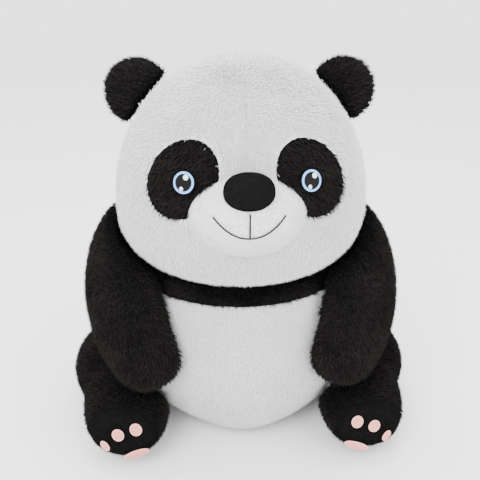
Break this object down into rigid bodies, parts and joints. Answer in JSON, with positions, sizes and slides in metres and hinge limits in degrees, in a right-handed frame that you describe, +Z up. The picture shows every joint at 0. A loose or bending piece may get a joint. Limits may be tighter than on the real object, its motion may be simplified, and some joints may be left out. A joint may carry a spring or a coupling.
{
  "type": "plush panda",
  "caption": "Large sitting plush panda with a big round head, small round ears, an embroidered face, drooping arms and short legs with stitched pads on the soles.",
  "frame": {"origin": "on the floor, under the middle of the sitting toy", "axes": "+Z up, the face towards -Y, the toy's own left side towards +X"},
  "size_m": [0.4688, 0.4412, 0.487],
  "materials": {
    "white_plush": "soft short pile",
    "black_plush": "soft short pile",
    "white_velour": "very short smooth pile",
    "black_velour": "very short smooth pile",
    "pink_embroidery": "satin stitch",
    "blue_embroidery": "satin stitch",
    "black_embroidery": "satin stitch",
    "white_embroidery": "satin stitch",
    "polyester_fibre": "loose fibre",
    "pouch_cloth": "plain cloth"
  },
  "bodies": {
    "torso": {"belly_panel": "white_plush", "left_back_panel": "white_plush", "right_back_panel": "white_plush", "front_yoke": "black_plush", "back_yoke": "black_plush", "base_panel": "white_plush", "torso_stuffing": "polyester_fibre", "pellet_pouch": "pouch_cloth"},
    "head": {"left_head_panel": "white_plush", "right_head_panel": "white_plush", "head_stuffing": "polyester_fibre", "muzzle_cover": "white_velour", "muzzle_stuffing": "polyester_fibre", "nose_cover": "black_velour", "nose_stuffing": "polyester_fibre", "mouth_smile": "black_embroidery", "mouth_line": "black_embroidery", "left_eye_patch": "black_plush", "left_eye_ring": "blue_embroidery", "left_eye_pupil": "black_embroidery", "left_eye_glint_large": "white_embroidery", "left_eye_glint_small": "white_embroidery", "right_eye_patch": "black_plush", "right_eye_ring": "blue_embroidery", "right_eye_pupil": "black_embroidery", "right_eye_glint_large": "white_embroidery", "right_eye_glint_small": "white_embroidery"},
    "left_ear": {"left_ear_front": "black_plush", "left_ear_back": "black_plush", "left_ear_stuffing": "polyester_fibre"},
    "right_ear": {"right_ear_front": "black_plush", "right_ear_back": "black_plush", "right_ear_stuffing": "polyester_fibre"},
    "left_arm": {"left_arm_outer_panel": "black_plush", "left_arm_inner_panel": "black_plush", "left_arm_stuffing": "polyester_fibre"},
    "right_arm": {"right_arm_outer_panel": "black_plush", "right_arm_inner_panel": "black_plush", "right_arm_stuffing": "polyester_fibre"},
    "left_leg": {"left_leg_outer_panel": "black_plush", "left_leg_inner_panel": "black_plush", "left_leg_stuffing": "polyester_fibre", "left_sole": "black_velour", "left_heel_pad": "pink_embroidery", "left_inner_toe_pad": "pink_embroidery", "left_middle_toe_pad": "pink_embroidery", "left_outer_toe_pad": "pink_embroidery"},
    "right_leg": {"right_leg_outer_panel": "black_plush", "right_leg_inner_panel": "black_plush", "right_leg_stuffing": "polyester_fibre", "right_sole": "black_velour", "right_heel_pad": "pink_embroidery", "right_inner_toe_pad": "pink_embroidery", "right_middle_toe_pad": "pink_embroidery", "right_outer_toe_pad": "pink_embroidery"}
  },
  "joints": [
    {"name": "neck_turn", "type": "hinge", "parent": "torso", "child": "head", "pos_m": [0, -0.024, 0.25], "axis": [0, 0, 1], "range_deg": [-15, 15], "stiffness_Nm_per_rad": 0.5},
    {"name": "left_ear_fold", "type": "hinge", "parent": "head", "child": "left_ear", "pos_m": [0.1106, -0.009, 0.428], "axis": [-0.5792, 0, 0.8152], "range_deg": [-12, 12], "stiffness_Nm_per_rad": 0.05},
    {"name": "right_ear_fold", "type": "hinge", "parent": "head", "child": "right_ear", "pos_m": [-0.1106, -0.009, 0.428], "axis": [-0.5792, 0, -0.8152], "range_deg": [-12, 12], "stiffness_Nm_per_rad": 0.05},
    {"name": "left_arm_swing", "type": "hinge", "parent": "torso", "child": "left_arm", "pos_m": [0.118, 0.026, 0.25], "axis": [0, 0, 1], "range_deg": [0, 30]},
    {"name": "right_arm_swing", "type": "hinge", "parent": "torso", "child": "right_arm", "pos_m": [-0.118, 0.026, 0.25], "axis": [0, 0, -1], "range_deg": [0, 30]},
    {"name": "left_leg_splay", "type": "hinge", "parent": "torso", "child": "left_leg", "pos_m": [0.12, 0.088, 0.054], "axis": [0, 0, 1], "range_deg": [0, 15], "stiffness_Nm_per_rad": 0.5},
    {"name": "right_leg_splay", "type": "hinge", "parent": "torso", "child": "right_leg", "pos_m": [-0.12, 0.088, 0.054], "axis": [0, 0, -1], "range_deg": [0, 15], "stiffness_Nm_per_rad": 0.5}
  ]
}
